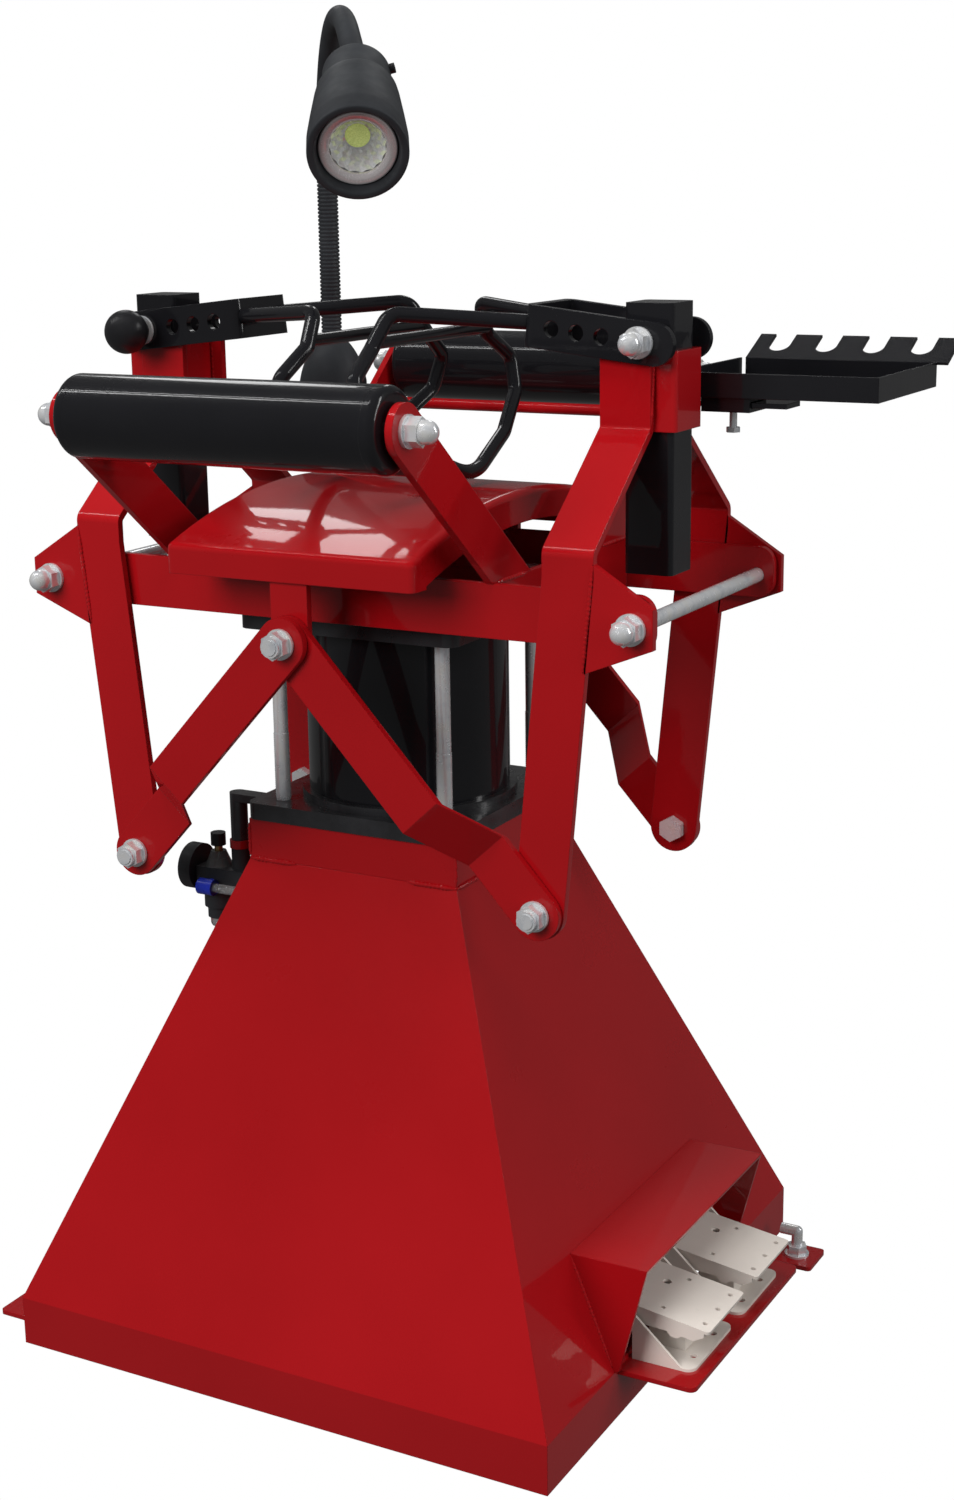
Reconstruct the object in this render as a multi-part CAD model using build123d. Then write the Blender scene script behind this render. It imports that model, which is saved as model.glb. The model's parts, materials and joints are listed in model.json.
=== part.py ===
"""Pneumatic tyre spreader: floor stand, air cylinder, saddle, two hook arms, rollers, tray and lamp.

Frame: origin on the floor at the centre of the base, +X to the tray side, +Y away from the
front roller, +Z up.  All lengths are millimetres.
"""
from build123d import *
from math import atan2, cos, degrees, hypot, pi, radians, sin, tan
import os

os.makedirs("parts", exist_ok=True)

# ---------------------------------------------------------------- driving dimensions
SHEET = 3.0                 # folded sheet thickness
FLAT = 6.0                  # flat bar thickness

# base
BASE_X = 500.0              # footprint across
BASE_Y = 490.0              # footprint front to back
SKIRT = 42.0                # upright rim at the floor
COLLAR = 196.0              # square box on top of the pyramid
COLLAR_Z = (414.0, 448.0)
TAB = (52.0, 40.0, 4.0)     # floor tab: reach, width, thickness
TAB_Y = 196.0
ANCHOR_R = 6.5              # hole in a floor tab

# pedal box
HOOD_Y = (-127.0, 113.0)
HOOD_Z = 137.0
HOOD_OUT = 278.0
SHELF_OUT = 316.0
SHELF_Z = 38.0
PEDAL_Y = (-58.0, 44.0)
PEDAL_W = 74.0
PEDAL_FRONT = 317.0
PEDAL_BACK = 218.0
PEDAL_PIVOT = (232.0, 84.0)
PEDAL_TILT = 8.0
PLUNGER_X = 272.0
CHANNEL_W = 84.0

# air cylinder
COVER = 200.0
COVER_T = 14.0
TUBE_R = 84.5
TUBE_WALL = 4.0
TIE = 77.0                  # tie rod half spacing
TIE_R = 6.0
FRAME_Z = (625.0, 667.0)
TOP_COVER_T = 16.0
ROD_R = 16.0
PISTON_T = 34.0
RUN = 0.05                  # radial running clearance of a shaft

# frame and main axles
RAIL_Y = (115.0, 121.0)
RAIL_END = 278.0
AXLE = (263.5, 643.5)
AXLE_R = 6.0
CROSS_X = (141.0, 147.0)

# rollers
ROLLER_R = 31.5
ROLLER_HALF = 137.0
ROLLER_AT = (243.0, 793.0)
ROLLER_ARM_W = 40.0
ROLLER_ARM_FOOT = 91.0
ROLLER_TIE = (204.0, 761.0)

# swing arms
ARM_Y = (124.0, 130.0)
ARM_W = 42.0
ARM_PIVOT = (187.5, 417.0)
ARM_FOLD_Z = 697.0
ARM_TOP_X = 213.0
ARM_FACE_Y = 25.0
ARM_FACE_Z = (776.0, 831.0)
POST_X = 227.0
POST = 40.0
POST_Z = (663.0, 868.0)
SLEEVE = 50.0
SLEEVE_BORE = 41.0
SLEEVE_Z = (773.0, 833.0)

# saddle and links
SADDLE_X = 111.0
SADDLE_Y = 178.0
SADDLE_TOP = 720.0
SADDLE_EDGE = 689.0
FLANGE = 23.0
LUG_PIVOT_Z = 621.0
LUG_Y = (169.0, 175.0)
LUG_W = 33.0
LINK_W = 40.0
LINK_GAP = 0.5              # air between plates that turn against each other
LINK_FLAT = 62.0            # flat lower end of a link, measured from its hole
LINK_JOG = 46.0             # length of the slanting stretch
LINK_HOLE = 8.5             # lower hole, larger than its bolt

# hooks
HOOK_Z = 840.0
HOOK_LEG_Y = (32.0, 38.0)
HOOK_H = 32.0
HOOK_TAIL = 28.0
HOOK_REACH = 97.0
HOOK_TILT = 6.5
HOOK_HOLES = (31.0, 52.0, 73.0)
HOOK_ROD_R = 6.0
LOOP_POINTS = [             # half of the claw loop: x, y, z from the web to the middle
    (133.3, 27.1, 852.5),
    (34.0, 73.0, 860.0),
    (29.0, 93.0, 834.0),
    (33.0, 128.0, 812.0),
    (40.0, 122.0, 784.0),
    (54.0, 74.0, 755.0),
    (65.0, 0.0, 727.5),
]
CROSS_ROD_Y = 87.0          # half length of the rod across a claw
LOOP_RADII = (13.0, 9.0, 11.0, 13.0, 30.0)
BALL_R = 18.0

# tray
TRAY_X = (219.0, 386.0)
TRAY_Y = (42.0, 184.0)
TRAY_Z = (793.0, 812.0)
CLAMP_AT = (263.0, 61.0)
COMB_RISE = 17.0
COMB_LEAN = 33.0

# lamp
LAMP_AT = (-192.0, 202.0)
LAMP_FOOT_Z = 742.0
LAMP_BOOT_R = 31.0
NECK_R = 9.5
NECK_Z = (790.0, 968.0)
NECK_BEND = 123.0
NECK_RUN = 53.0
NECK_DOWN = 30.0            # slope of the neck where it enters the head
NECK_DIR = (0.626, -0.780)
HEAD_DIR = (0.455, -0.752, -0.476)
HEAD_R = (28.5, 35.0, 39.0) # rear barrel, middle barrel, front rim
HEAD_L = (48.0, 100.0, 146.0)

# air unit at the left of the collar
PORT_X = -136.0
UNIT = (-159.0, -58.0)
INLET_R = 5.7               # quarter-inch pipe thread, minor radius
INLET_Z = 377.0
UNIT_TOP = 388.0            # top of the block
UNIT_LOW = 366.0            # bottom of the block
GAUGE_Z = 384.0


# ---------------------------------------------------------------- helpers
def block(x, y, z):
    """Box between the given low and high coordinates."""
    size = (abs(x[1] - x[0]), abs(y[1] - y[0]), abs(z[1] - z[0]))
    middle = ((x[0] + x[1]) / 2, (y[0] + y[1]) / 2, (z[0] + z[1]) / 2)
    return Pos(*middle) * Box(*size)


def rod(start, end, radius):
    """Round bar from one point to another."""
    a = Vector(*start)
    along = Vector(*end) - a
    plane = Plane(origin=a, z_dir=along.normalized())
    return Solid.make_cylinder(radius, along.length, plane)


def plate_xz(points, y):
    """Flat plate from an outline in X and Z, between two Y values."""
    plane = Plane(origin=(0, max(y), 0), x_dir=(1, 0, 0), z_dir=(0, -1, 0))
    face = plane * make_face(Polyline(*points, close=True))
    return extrude(face, amount=abs(y[1] - y[0]), dir=(0, -1, 0))


def plate_yz(points, x):
    """Flat plate from an outline in Y and Z, between two X values."""
    plane = Plane(origin=(min(x), 0, 0), x_dir=(0, 1, 0), z_dir=(1, 0, 0))
    face = plane * make_face(Polyline(*points, close=True))
    return extrude(face, amount=abs(x[1] - x[0]), dir=(1, 0, 0))


def hexagon(base, direction, across, height, bore=0.0):
    """Hexagon prism standing on a point, with an optional through bore."""
    plane = Plane(origin=Vector(*base), z_dir=Vector(*direction))
    prism = extrude(plane * RegularPolygon(across / 2 / cos(pi / 6), 6), amount=height)
    if bore:
        prism = prism - Solid.make_cylinder(bore, height, plane)
    return prism


def washer(base, direction, radius, bore, thickness):
    plane = Plane(origin=Vector(*base), z_dir=Vector(*direction))
    return Solid.make_cylinder(radius, thickness, plane) - Solid.make_cylinder(bore, thickness, plane)


def dome_nut(base, direction, bore=6.0, across=19.0):
    """Cap nut: hexagon, short neck and round crown, with a blind bore."""
    way = Vector(*direction)
    plane = Plane(origin=Vector(*base), z_dir=way)
    hexa = hexagon(base, direction, across, 10.0)
    crown_r = across * 0.45
    neck = Solid.make_cylinder(crown_r, 13.5, plane)
    crown = Pos(*(Vector(*base) + way * 13.5)) * Sphere(crown_r)
    return (hexa + neck + crown) - Solid.make_cylinder(bore, 15.0, plane)


def lock_nut(base, direction, bore=6.0, across=19.0):
    """Hexagon nut with the round collar that holds its locking ring."""
    plane = Plane(origin=Vector(*base), z_dir=Vector(*direction))
    nut = hexagon(base, direction, across, 9.0) + Solid.make_cylinder(across * 0.42, 12.5, plane)
    return nut - Solid.make_cylinder(bore, 12.5, plane)


def capped_rod(x, z, half, seat):
    """Rod along Y with a washer and a cap nut at each end; seat is where a washer lies."""
    pieces = [rod((x, -half, z), (x, half, z), AXLE_R)]
    for side in (-1, 1):
        pieces.append(washer((x, side * seat, z), (0, side, 0), 12.0, AXLE_R, 2.5))
        pieces.append(dome_nut((x, side * (seat + 2.5), z), (0, side, 0)))
    return pieces


def save(name, *shapes):
    """Write one node; several shapes stay separate solids in it."""
    solids = [solid for shape in shapes for solid in shape.solids()]
    export_step(Compound(children=solids) if len(solids) > 1 else solids[0], f"parts/{name}.step")


def mirror_x(shape):
    return shape.mirror(Plane.YZ)


def mirror_y(shape):
    return shape.mirror(Plane.XZ)


# ---------------------------------------------------------------- base
def frustum(half_low, half_high, z):
    """Four-sided pyramid stump between two rectangles."""
    low = Pos(0, 0, z[0]) * Rectangle(2 * half_low[0], 2 * half_low[1])
    high = Pos(0, 0, z[1]) * Rectangle(2 * half_high[0], 2 * half_high[1])
    return loft([low.face(), high.face()], ruled=True)


def base_half(z):
    """Half width in X and Y of the outer skin at a height above the skirt."""
    part = (z - SKIRT) / (COLLAR_Z[0] - SKIRT)
    return (BASE_X / 2 + part * (COLLAR - BASE_X) / 2, BASE_Y / 2 + part * (COLLAR - BASE_Y) / 2)


def base_skin():
    """Hollow shell of the whole base: skirt and pyramid."""
    outer = (BASE_X / 2, BASE_Y / 2)
    inner = (outer[0] - SHEET, outer[1] - SHEET)
    top = (COLLAR / 2, COLLAR / 2)
    top_in = (top[0] - SHEET, top[1] - SHEET)
    skin = block((-outer[0], outer[0]), (-outer[1], outer[1]), (0, SKIRT)) + frustum(
        outer, top, (SKIRT, COLLAR_Z[0]))
    hollow = block((-inner[0], inner[0]), (-inner[1], inner[1]), (0, SKIRT)) + frustum(
        inner, top_in, (SKIRT, COLLAR_Z[0]))
    return skin - hollow


def base_panels():
    """Four bent panels, mitred along the corners, and the strap across the open bottom."""
    skin = base_skin()
    far = 320.0
    slope = (BASE_Y - COLLAR) / (BASE_X - COLLAR)
    start = (1 - slope) * COLLAR / 2
    edge = start + slope * far
    wedges = {
        "right": [(0, start), (far, edge), (far, -edge), (0, -start)],
        "front": [(0, -start), (far, -edge), (-far, -edge)],
    }
    right = skin & extrude(make_face(Polyline(*wedges["right"], close=True)), amount=COLLAR_Z[0])
    front = skin & extrude(make_face(Polyline(*wedges["front"], close=True)), amount=COLLAR_Z[0])
    window = block((190, 260), (HOOD_Y[0] + 18, HOOD_Y[1] - 18), (SKIRT + 3, HOOD_Z - 8))
    x = BASE_X / 2 - SHEET
    strap = block((-x, x), (-30, 30), (0, 4))
    return right - window, mirror_x(right), front, mirror_y(front), strap


def base_collar():
    half = COLLAR / 2
    walls = block((-half, half), (-half, half), COLLAR_Z)
    walls -= block((-half + SHEET, half - SHEET), (-half + SHEET, half - SHEET), COLLAR_Z)
    shelf = block((-half + SHEET, half - SHEET), (-half + SHEET, half - SHEET),
                  (COLLAR_Z[1] - 6, COLLAR_Z[1]))
    shelf -= Pos(0, 0, COLLAR_Z[1]) * Cylinder(TUBE_R - 22, 20)
    for x in (-TIE, TIE):
        for y in (-TIE, TIE):
            shelf -= Pos(x, y, COLLAR_Z[1]) * Cylinder(12, 20)
    return walls + shelf


def base_tab(side):
    """Floor tab on the left side near the front, or on the right side near the back."""
    x0 = BASE_X / 2
    outline = block((x0, x0 + TAB[0]), (TAB_Y - TAB[1] / 2, TAB_Y + TAB[1] / 2), (0, TAB[2]))
    outline = fillet(outline.edges().filter_by(Axis.Z).group_by(Axis.X)[-1], 4)
    outline -= Pos(x0 + TAB[0] - 20, TAB_Y, 0) * Cylinder(ANCHOR_R, 20)
    return outline if side > 0 else outline.rotate(Axis.Z, 180)


def anchor_bolt():
    """Bent bolt through the right floor tab, with its washer and flanged nut."""
    x = BASE_X / 2 + TAB[0] - 20
    shank = rod((x, TAB_Y, 1), (x, TAB_Y, 27), 5)
    bend = Pos(x, TAB_Y, 27) * Sphere(5)
    arm = rod((x, TAB_Y, 27), (x - 15, TAB_Y, 27), 5)
    bolt = shank + bend + arm
    plate = washer((x, TAB_Y, TAB[2]), (0, 0, 1), 11, 5, 2)
    nut = hexagon((x, TAB_Y, TAB[2] + 2), (0, 0, 1), 16, 8, 5)
    return bolt, plate, nut


# ---------------------------------------------------------------- pedal box
def pedal_hood():
    """Folded cover over the pedals: a level top and two cheeks."""
    reach = base_half(HOOD_Z)[0]
    skirt_top = BASE_X / 2
    side = [(reach, HOOD_Z), (HOOD_OUT, HOOD_Z), (skirt_top + 4, SKIRT + 2), (skirt_top, SKIRT)]
    body = plate_xz(side, HOOD_Y)
    under = [(reach - 6, HOOD_Z - SHEET), (HOOD_OUT + 8, HOOD_Z - SHEET),
             (HOOD_OUT + 8, 20), (skirt_top - 6, 20), (skirt_top - 6, SKIRT)]
    inside = plate_xz(under, (HOOD_Y[0] + SHEET, HOOD_Y[1] - SHEET))
    return body - inside


def pedal_shelf():
    plate = block((BASE_X / 2, SHELF_OUT), (HOOD_Y[0] + 6, HOOD_Y[1] - 6), (SHELF_Z, SHELF_Z + 4))
    return fillet(plate.edges().filter_by(Axis.Z).group_by(Axis.X)[-1], 6)


def foot_valve(y):
    """Base channel with two sloping side walls, its pivot pin and the valve block."""
    z0 = SHELF_Z + 4
    half = CHANNEL_W / 2
    floor = block((BASE_X / 2 + 3, PEDAL_FRONT - 11), (y - half, y + half), (z0, z0 + 2.5))
    floor = fillet(floor.edges().filter_by(Axis.Z).group_by(Axis.X)[-1], 8)
    for dy in (-20, 20):
        floor -= Pos(PEDAL_FRONT - 20, y + dy, z0) * Cylinder(3, 20)
    px, pz = PEDAL_PIVOT
    wall = [(px - 9, pz + 9), (px + 9, pz + 9), (PEDAL_FRONT - 22, z0 + 2.5), (BASE_X / 2 + 3, z0 + 2.5),
            (BASE_X / 2 + 3, z0 + 24), (px - 9, z0 + 32)]
    walls = [plate_xz(wall, (y + s * (half - 2.5), y + s * half)) for s in (-1, 1)]
    channel = floor + walls[0] + walls[1]
    channel -= rod((px, y - half - 5, pz), (px, y + half + 5, pz), 3)
    pin = rod((px, y - half - 2, pz), (px, y + half + 2, pz), 3)
    x = PLUNGER_X
    valve = block((x - 16, x + 16), (y - 16, y + 16), (z0 + 2.5, z0 + 18))
    valve += rod((x, y, z0 + 18), (x, y, z0 + 23), 6.5)
    valve -= rod((x, y, z0 + 3.5), (x, y, z0 + 24), 4 + RUN)
    return channel, pin, valve


def plunger(y):
    """Valve stem that the tread pushes down."""
    return rod((PLUNGER_X, y, SHELF_Z + 17), (PLUNGER_X, y, 80.7), 4)


def pedal(y):
    """Tread plate with turned-down sides, drilled with rows of small holes."""
    half = PEDAL_W / 2
    length = PEDAL_FRONT - PEDAL_BACK
    top = block((-length, 0), (-half, half), (-2.5, 0))
    top = fillet(top.edges().filter_by(Axis.Z).group_by(Axis.X)[-1], 3)
    drop = 12.0
    side = [(-length, 0), (0 - 4, 0), (-4, -6), (-12, -drop), (-22, -drop), (-26, -drop - 3.5),
            (-31, -drop - 3.5), (-35, -drop), (-length + 4, -drop - 6), (-length, -drop - 6)]
    tread = top
    for s in (-1, 1):
        tread += plate_xz(side, (s * (half - 2.5), s * half))
    for dx in (-8, -45, -78):
        for dy in (-26, 0, 26):
            if dx == -45 and dy == 0:
                continue
            tread -= Pos(dx, dy, 0) * Cylinder(2.2, 12)
    tread -= Pos(-58, 12, 0) * Cylinder(3.6, 12)
    front_z = PEDAL_PIVOT[1] + 6 - (PEDAL_FRONT - PEDAL_PIVOT[0]) * tan(radians(PEDAL_TILT))
    tread = Pos(PEDAL_FRONT, y, front_z) * (Rot(0, PEDAL_TILT, 0) * tread)
    px, pz = PEDAL_PIVOT
    tread -= rod((px, y - half - 5, pz), (px, y + half + 5, pz), 3 + RUN)
    return tread


# ---------------------------------------------------------------- air cylinder
def tie_points():
    return [(x, y) for x in (-TIE, TIE) for y in (-TIE, TIE)]


def cylinder_base_cover():
    z0 = COLLAR_Z[1]
    half = COVER / 2
    plate = block((-half, half), (-half, half), (z0, z0 + COVER_T))
    plate = fillet(plate.edges().filter_by(Axis.Z), 10)
    ring = Pos(0, 0, z0 + COVER_T + 3) * Cylinder(TUBE_R + 6, 6)
    ring -= Pos(0, 0, z0 + COVER_T + 3) * Cylinder(TUBE_R, 6)
    cover = plate + ring
    for x, y in tie_points():
        cover -= Pos(x, y, z0) * Cylinder(TIE_R, 60)
    lobe = rod((PORT_X, UNIT[1], z0 - 34), (PORT_X, UNIT[1], z0 + 8), 7.5)
    bridge = block((PORT_X, -half + 6), (UNIT[1] - 7.5, UNIT[1] + 7.5), (z0 + 1, z0 + 8))
    cover += lobe + bridge
    return cover - rod((PORT_X, UNIT[1], z0 - 36), (PORT_X, UNIT[1], z0 + 3), 4)


def cylinder_tube():
    z = (COLLAR_Z[1] + COVER_T, FRAME_Z[0] - TOP_COVER_T)
    middle = Pos(0, 0, (z[0] + z[1]) / 2)
    return middle * (Cylinder(TUBE_R, z[1] - z[0]) - Cylinder(TUBE_R - TUBE_WALL, z[1] - z[0]))


def cylinder_top_cover():
    z1 = FRAME_Z[0]
    half = COVER / 2
    plate = block((-half, half), (-half, half), (z1 - TOP_COVER_T, z1))
    plate = fillet(plate.edges().filter_by(Axis.Z), 10)
    for x, y in tie_points():
        plate -= Pos(x, y, z1) * Cylinder(TIE_R, 60)
    return plate - Pos(0, 0, z1) * Cylinder(ROD_R + RUN, 60)


def tie_rods():
    pieces = []
    top = FRAME_Z[0] + 6
    for x, y in tie_points():
        pieces.append(rod((x, y, COLLAR_Z[1] - 16), (x, y, top + 14), TIE_R))
        pieces.append(hexagon((x, y, top), (0, 0, 1), 19, 10, TIE_R))
        pieces.append(hexagon((x, y, COLLAR_Z[1] - 6), (0, 0, -1), 19, 8, TIE_R))
    return pieces


def piston():
    z0 = COLLAR_Z[1] + COVER_T + 1.0
    disc = Pos(0, 0, z0 + PISTON_T / 2) * Cylinder(TUBE_R - TUBE_WALL - 0.1, PISTON_T)
    for dz in (8, PISTON_T - 8):
        groove = Pos(0, 0, z0 + dz) * (Cylinder(TUBE_R, 5) - Cylinder(TUBE_R - TUBE_WALL - 3, 5))
        disc -= groove
    return disc - rod((0, 0, z0), (0, 0, z0 + PISTON_T), ROD_R - 4)


def piston_rod():
    z0 = COLLAR_Z[1] + COVER_T + 1.0
    stem = rod((0, 0, z0), (0, 0, z0 + PISTON_T), ROD_R - 4)
    shaft = rod((0, 0, z0 + PISTON_T), (0, 0, 689), ROD_R)
    return stem + shaft + rod((0, 0, 689), (0, 0, 697), 45)


# ---------------------------------------------------------------- frame and rollers
def rail():
    """Front or rear flat bar on edge, drilled for the two main axles."""
    bar = block((-RAIL_END, RAIL_END), RAIL_Y, FRAME_Z)
    bar = fillet(bar.edges().filter_by(Axis.Y), 14)
    for s in (-1, 1):
        bar -= rod((s * AXLE[0], 100, AXLE[1]), (s * AXLE[0], 140, AXLE[1]), AXLE_R + RUN)
    return bar


def frame_rails():
    y = RAIL_Y[0]
    bars = [rail(), mirror_y(rail())]
    for s in (-1, 1):
        x = sorted((s * CROSS_X[0], s * CROSS_X[1]))
        bars.append(block(x, (-y, y), FRAME_Z))
    return bars


def frame_top_plate():
    x, y = CROSS_X[0], RAIL_Y[0]
    plate = block((-x, x), (-y, y), (FRAME_Z[0], FRAME_Z[0] + 6))
    for px, py in tie_points():
        plate -= Pos(px, py, FRAME_Z[0]) * Cylinder(TIE_R, 40)
    return plate - Pos(0, 0, FRAME_Z[0]) * Cylinder(ROD_R + 4, 40)


def roller_arm():
    """Sloping flat bar from the frame up to the eye of the front roller, right side."""
    y1, z1 = -ROLLER_AT[0], ROLLER_AT[1]
    y0, z0 = -ROLLER_ARM_FOOT, FRAME_Z[1]
    length = hypot(y1 - y0, z1 - z0)
    ny, nz = (z1 - z0) / length, -(y1 - y0) / length
    cut = ROLLER_ARM_W / 2 / ny
    half = ROLLER_ARM_W / 2
    outline = [(y0 - cut, z0), (y1 - ny * half, z1 - nz * half), (y1 + ny * half, z1 + nz * half),
               (y0 + cut, z0)]
    arm = plate_yz(outline, CROSS_X)
    arm += rod((CROSS_X[0], y1, z1), (CROSS_X[1], y1, z1), half)
    arm -= rod((CROSS_X[0] - 1, y1, z1), (CROSS_X[1] + 1, y1, z1), AXLE_R)
    return arm


def roller_arms():
    """Both arms of the front roller and the round bar that ties them."""
    arm = roller_arm()
    tie = rod((-CROSS_X[0], -ROLLER_TIE[0], ROLLER_TIE[1]), (CROSS_X[0], -ROLLER_TIE[0], ROLLER_TIE[1]), 5)
    return [arm, mirror_x(arm), tie]


def roller_axle():
    """Front roller axle with a washer and cap nut outside each arm."""
    y, z = -ROLLER_AT[0], ROLLER_AT[1]
    seat = CROSS_X[1]
    pieces = [rod((-seat - 14, y, z), (seat + 14, y, z), AXLE_R)]
    for s in (-1, 1):
        pieces.append(washer((s * seat, y, z), (s, 0, 0), 12.0, AXLE_R, 2.5))
        pieces.append(dome_nut((s * (seat + 2.5), y, z), (s, 0, 0)))
    return pieces


def roller():
    """Front roller: steel tube closed by two pressed end caps."""
    y, z = -ROLLER_AT[0], ROLLER_AT[1]
    wall = 3.0
    flat = ROLLER_HALF - 10.0
    tube = rod((-flat, y, z), (flat, y, z), ROLLER_R) - rod((-flat, y, z), (flat, y, z), ROLLER_R - wall)
    pieces = [tube]
    for s in (-1, 1):
        cap = rod((s * flat, y, z), (s * ROLLER_HALF, y, z), ROLLER_R)
        rim = cap.edges().filter_by(GeomType.CIRCLE).sort_by(Axis.X)[-1 if s > 0 else 0]
        cap = fillet(rim, 6.0)
        cap += rod((s * (flat - 14), y, z), (s * flat, y, z), 14)
        cap -= rod((s * (flat - 20), y, z), (s * (ROLLER_HALF + 5), y, z), AXLE_R + RUN)
        pieces.append(cap)
    return pieces


# ---------------------------------------------------------------- swing arms
def leg_strip():
    """Folded upper part of the front leg: slanting stretch and upright face."""
    yo, yi = -ARM_Y[1], -ARM_Y[0]
    fy = ARM_FACE_Y
    slope = atan2(ARM_FACE_Z[0] - ARM_FOLD_Z, ARM_Y[1] - fy - FLAT)
    shift = FLAT * tan((pi / 2 - slope) / 2)
    low = ARM_FOLD_Z - 20.0
    outline = [(yo, low), (yo, ARM_FOLD_Z), (-fy - FLAT, ARM_FACE_Z[0]), (-fy - FLAT, ARM_FACE_Z[1]),
               (-fy, ARM_FACE_Z[1]), (-fy, ARM_FACE_Z[0] - shift), (yi, ARM_FOLD_Z - shift), (yi, low)]
    half = ARM_W / 2
    strip = plate_yz(outline, (ARM_TOP_X - half, ARM_TOP_X + half))
    for y, z, radius in ((yo, ARM_FOLD_Z, 9), (yi, ARM_FOLD_Z - shift, 3), (-fy - FLAT, ARM_FACE_Z[0], 3),
                         (-fy, ARM_FACE_Z[0] - shift, 9)):
        near = strip.edges().filter_by(Axis.X).sort_by_distance((ARM_TOP_X, y, z))[0]
        strip = fillet(near, radius)
    return strip


def arm_leg():
    """Right front leg, cut from one flat bar and folded towards the sleeve."""
    px, pz = ARM_PIVOT
    run = (ARM_TOP_X - px, ARM_FOLD_Z - 20.0 - pz)
    length = hypot(*run)
    nx, nz = run[1] / length, -run[0] / length
    half = ARM_W / 2
    low = ARM_FOLD_Z - 20.0
    outline = [(px - nx * half, pz - nz * half), (px + nx * half, pz + nz * half),
               (ARM_TOP_X + half, low), (ARM_TOP_X - half, low)]
    y = (-ARM_Y[1], -ARM_Y[0])
    bar = plate_xz(outline, y) + rod((px, y[0], pz), (px, y[1], pz), half)
    leg = bar + leg_strip()
    return leg - rod((px, y[0] - 1, pz), (px, y[1] + 1, pz), AXLE_R)


def arm_gusset():
    """Right front axle plate, welded to the outer edge of the leg."""
    px, pz = ARM_PIVOT
    lean = (ARM_TOP_X - px) / (ARM_FOLD_Z - pz)
    edge = [px + ARM_W / 2 + lean * (z - pz) + 0.09 for z in (607.0, 689.0)]
    outline = [(edge[0], 607), (281, 629), (281, 659), (edge[1], 689)]
    plate = plate_xz(outline, (-ARM_Y[1], -ARM_Y[0]))
    return plate - rod((AXLE[0], -140, AXLE[1]), (AXLE[0], -110, AXLE[1]), AXLE_R)


def arm_legs():
    front = [arm_leg(), arm_gusset()]
    return front + [mirror_y(piece) for piece in front]


def arm_sleeve():
    half, bore = SLEEVE / 2, SLEEVE_BORE / 2
    x = (POST_X - half, POST_X + half)
    tube = fillet(block(x, (-half, half), SLEEVE_Z).edges().filter_by(Axis.Z), 4)
    return tube - block((POST_X - bore, POST_X + bore), (-bore, bore), SLEEVE_Z)


def main_axle():
    """Right main axle with its cap nuts and the spacers beside the rails."""
    x, z = AXLE
    pieces = capped_rod(x, z, 147.0, ARM_Y[1])
    for side in (-1, 1):
        pieces.append(washer((x, side * (RAIL_Y[1] + 0.4), z), (0, side, 0), 11.0, AXLE_R,
                             ARM_Y[0] - RAIL_Y[1] - 0.4))
    return pieces


def link_bolts():
    """Right lower link bolts: hexagon head inside the leg, washer and lock nut outside the link."""
    x, z = ARM_PIVOT
    seat = ARM_Y[1] + 2 * LINK_GAP + FLAT
    pieces = []
    for side in (-1, 1):
        shank = rod((x, side * ARM_Y[0], z), (x, side * (seat + 16), z), AXLE_R)
        head = hexagon((x, side * ARM_Y[0], z), (0, -side, 0), 19, 7.5)
        pieces.append(shank + head)
        pieces.append(washer((x, side * seat, z), (0, side, 0), 12.0, AXLE_R, 2.5))
        pieces.append(lock_nut((x, side * (seat + 2.5), z), (0, side, 0)))
    return pieces


def post():
    half = POST / 2
    tube = block((POST_X - half, POST_X + half), (-half, half), POST_Z)
    tube = fillet(tube.edges().filter_by(Axis.Z), 4)
    tube -= block((POST_X - half + 4, POST_X + half - 4), (-half + 4, half - 4),
                  (POST_Z[0], POST_Z[1] - 4))
    return tube - rod((POST_X, -40, HOOK_Z), (POST_X, 40, HOOK_Z), AXLE_R + RUN)


# ---------------------------------------------------------------- saddle and links
def arch(z_drop, y_half, x_half, z_low):
    """Solid under a round arch that runs front to back, down to a level."""
    rise = SADDLE_TOP - SADDLE_EDGE
    radius = (SADDLE_Y ** 2 + rise ** 2) / (2 * rise)
    centre = SADDLE_TOP - radius
    full = rod((-x_half, 0, centre), (x_half, 0, centre), radius - z_drop)
    return full & block((-x_half, x_half), (-y_half, y_half), (z_low, SADDLE_TOP + 1))


def top_edges(shape):
    """Edges round the curved top face."""
    return shape.faces().sort_by(Axis.Z)[-1].edges()


def saddle():
    """Arched sheet with a turned-down flange all round."""
    low = SADDLE_EDGE - FLANGE
    outer = arch(0.0, SADDLE_Y, SADDLE_X, low)
    outer = fillet(outer.edges().filter_by(Axis.Z) + top_edges(outer), 6)
    inner = arch(SHEET, SADDLE_Y - SHEET, SADDLE_X - SHEET, low)
    inner = fillet(inner.edges().filter_by(Axis.Z) + top_edges(inner), 3)
    shell = outer - inner
    relief = arch(FLANGE + 3, SADDLE_Y - 20, SADDLE_X + 5, low)
    shell = shell - relief
    beam = block((-60, 60), (-60, 60), (697, 703)) & inner
    rib = block((-60, -54), (-60, 60), (703, SADDLE_TOP)) + block((54, 60), (-60, 60), (703, SADDLE_TOP))
    return shell + beam + (rib & inner)


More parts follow.
